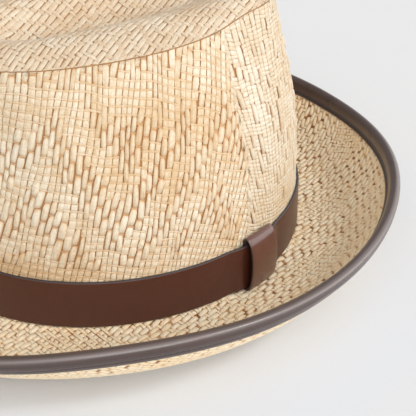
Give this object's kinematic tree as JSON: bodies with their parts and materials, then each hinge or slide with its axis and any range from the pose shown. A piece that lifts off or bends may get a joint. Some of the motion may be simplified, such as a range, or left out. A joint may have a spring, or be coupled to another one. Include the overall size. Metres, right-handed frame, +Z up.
{
  "type": "straw fedora hat",
  "caption": "Woven straw fedora with a creased teardrop crown, curled-up brim, brown leather band with a keeper loop, and leather binding round the rim.",
  "frame": {"origin": "middle of the hat's length and width, on the surface that it stands on", "axes": "+Z up through the crown, front of the hat towards -Y, wearer's left towards +X"},
  "size_m": [0.277, 0.3118, 0.1288],
  "materials": {
    "crown_straw": "woven natural straw, pale cream strands with tan gaps, dry satin",
    "brim_straw": "herringbone woven natural straw, a little darker than the crown",
    "band_leather": "smooth reddish brown leather, satin, dark edges",
    "keeper_leather": "smooth reddish brown leather, satin, painted dark edges",
    "binding_leather": "grey-brown leather, satin, stitched near its edge"
  },
  "bodies": {
    "root": {"straw_crown": "crown_straw", "straw_brim": "brim_straw", "hat_band": "band_leather", "band_keeper": "keeper_leather", "brim_binding": "binding_leather"}
  },
  "joints": []
}
